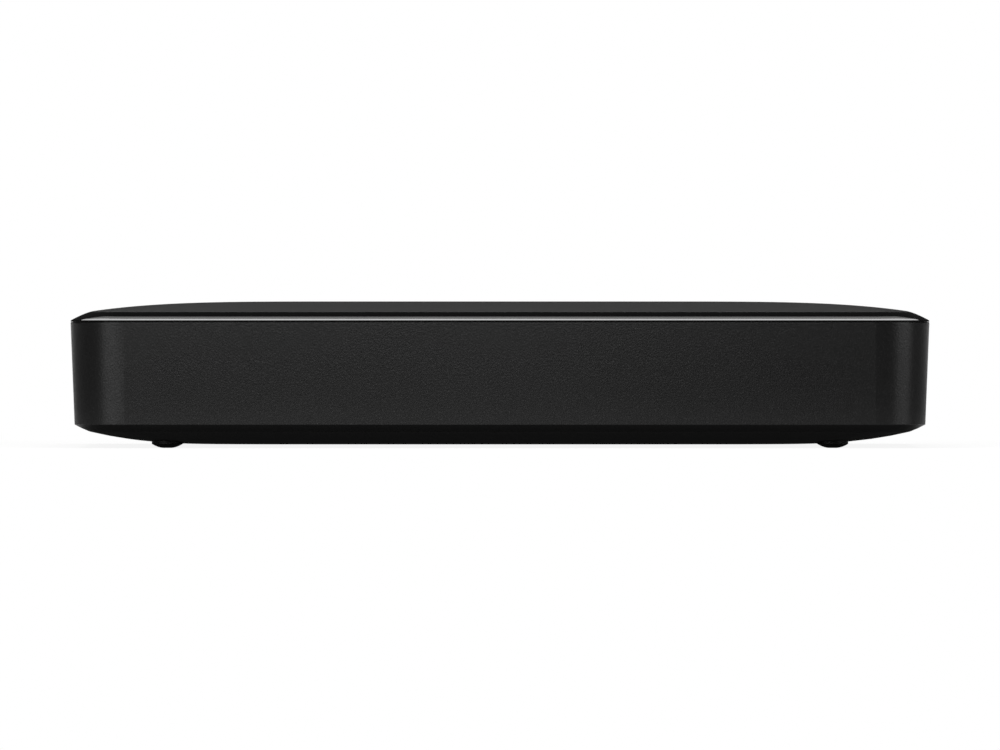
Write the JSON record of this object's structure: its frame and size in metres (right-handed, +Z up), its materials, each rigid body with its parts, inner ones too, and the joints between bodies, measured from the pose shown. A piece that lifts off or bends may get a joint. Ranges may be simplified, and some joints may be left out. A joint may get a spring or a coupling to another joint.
{
  "type": "portable external hard drive",
  "caption": "Slim portable hard drive: a snapped two-part case with a crowned top, glossy bevel, rubber feet and a data socket, around spinning platters and a swinging head arm.",
  "frame": {"origin": "middle of the footprint, on the plane that the feet stand on", "axes": "+Z up, +Y towards the end with the socket, +X to the right seen from the plain end"},
  "size_m": [0.082, 0.111, 0.014],
  "materials": {
    "case_side": "finely grained black",
    "case_top": "matte black with a glossy bevel",
    "foot_rubber": "matte",
    "mount_rubber": "matte",
    "clear_plastic": "clear",
    "light_body": "smooth",
    "board_laminate": "solder resist",
    "chip_body": "moulded",
    "insulating_sheet": "sheet",
    "socket_steel": "plated",
    "socket_insert": "moulded",
    "contact_metal": "plated",
    "screw_steel": "plated",
    "cast_aluminium": "cast",
    "cover_sheet_metal": "pressed sheet",
    "seal_rubber": "matte",
    "bearing_bronze": "turned",
    "laminated_steel": "stacked sheets",
    "copper_wire": "enamelled wire",
    "turned_aluminium": "turned",
    "magnet_metal": "plated",
    "platter_face": "polished",
    "spring_steel": "bright",
    "ramp_plastic": "moulded",
    "flex_film": "film",
    "filter_cloth": "fibre"
  },
  "bodies": {
    "housing": {"air_filter": "filter_cloth", "board_insulator": "insulating_sheet", "board_screws": "screw_steel", "bottom_case": "case_side", "circuit_board": "board_laminate", "controller_chip": "chip_body", "cover_gasket": "seal_rubber", "cover_screws": "screw_steel", "drive_base": "cast_aluminium", "drive_cover": "cover_sheet_metal", "flex_bracket": "ramp_plastic", "flex_circuit": "flex_film", "foot_front_left": "foot_rubber", "foot_front_right": "foot_rubber", "foot_rear_left": "foot_rubber", "foot_rear_right": "foot_rubber", "light_pipe": "clear_plastic", "load_ramp": "ramp_plastic", "lower_magnet": "magnet_metal", "lower_yoke": "laminated_steel", "memory_chip": "chip_body", "motor_driver_chip": "chip_body", "motor_sleeve": "bearing_bronze", "motor_stator": "laminated_steel", "pivot_shaft": "spring_steel", "shock_mount_front_left": "mount_rubber", "shock_mount_front_right": "mount_rubber", "shock_mount_rear_left": "mount_rubber", "shock_mount_rear_right": "mount_rubber", "stator_coils": "copper_wire", "status_led": "light_body", "top_cover": "case_top", "upper_magnet": "magnet_metal", "upper_yoke": "laminated_steel", "usb_contacts": "contact_metal", "usb_shell": "socket_steel", "usb_tongue": "socket_insert"},
    "disk_pack": {"spindle_hub": "turned_aluminium", "rotor_magnet": "magnet_metal", "lower_platter": "platter_face", "platter_spacer": "turned_aluminium", "upper_platter": "platter_face", "disk_clamp": "spring_steel", "clamp_screw": "screw_steel"},
    "head_arm": {"pivot_sleeve": "spring_steel", "arm_block": "turned_aluminium", "voice_coil": "copper_wire", "head_suspensions": "spring_steel"}
  },
  "joints": [
    {"name": "spindle_spin", "type": "hinge", "parent": "housing", "child": "disk_pack", "pos_m": [0, -0.0122, 0.00677], "axis": [0, 0, 1], "continuous": true},
    {"name": "arm_swing", "type": "hinge", "parent": "housing", "child": "head_arm", "pos_m": [0.011, 0.0259, 0.0057], "axis": [0, 0, 1], "range_deg": [0, 33.86], "deforming": ["flex_circuit"]}
  ]
}
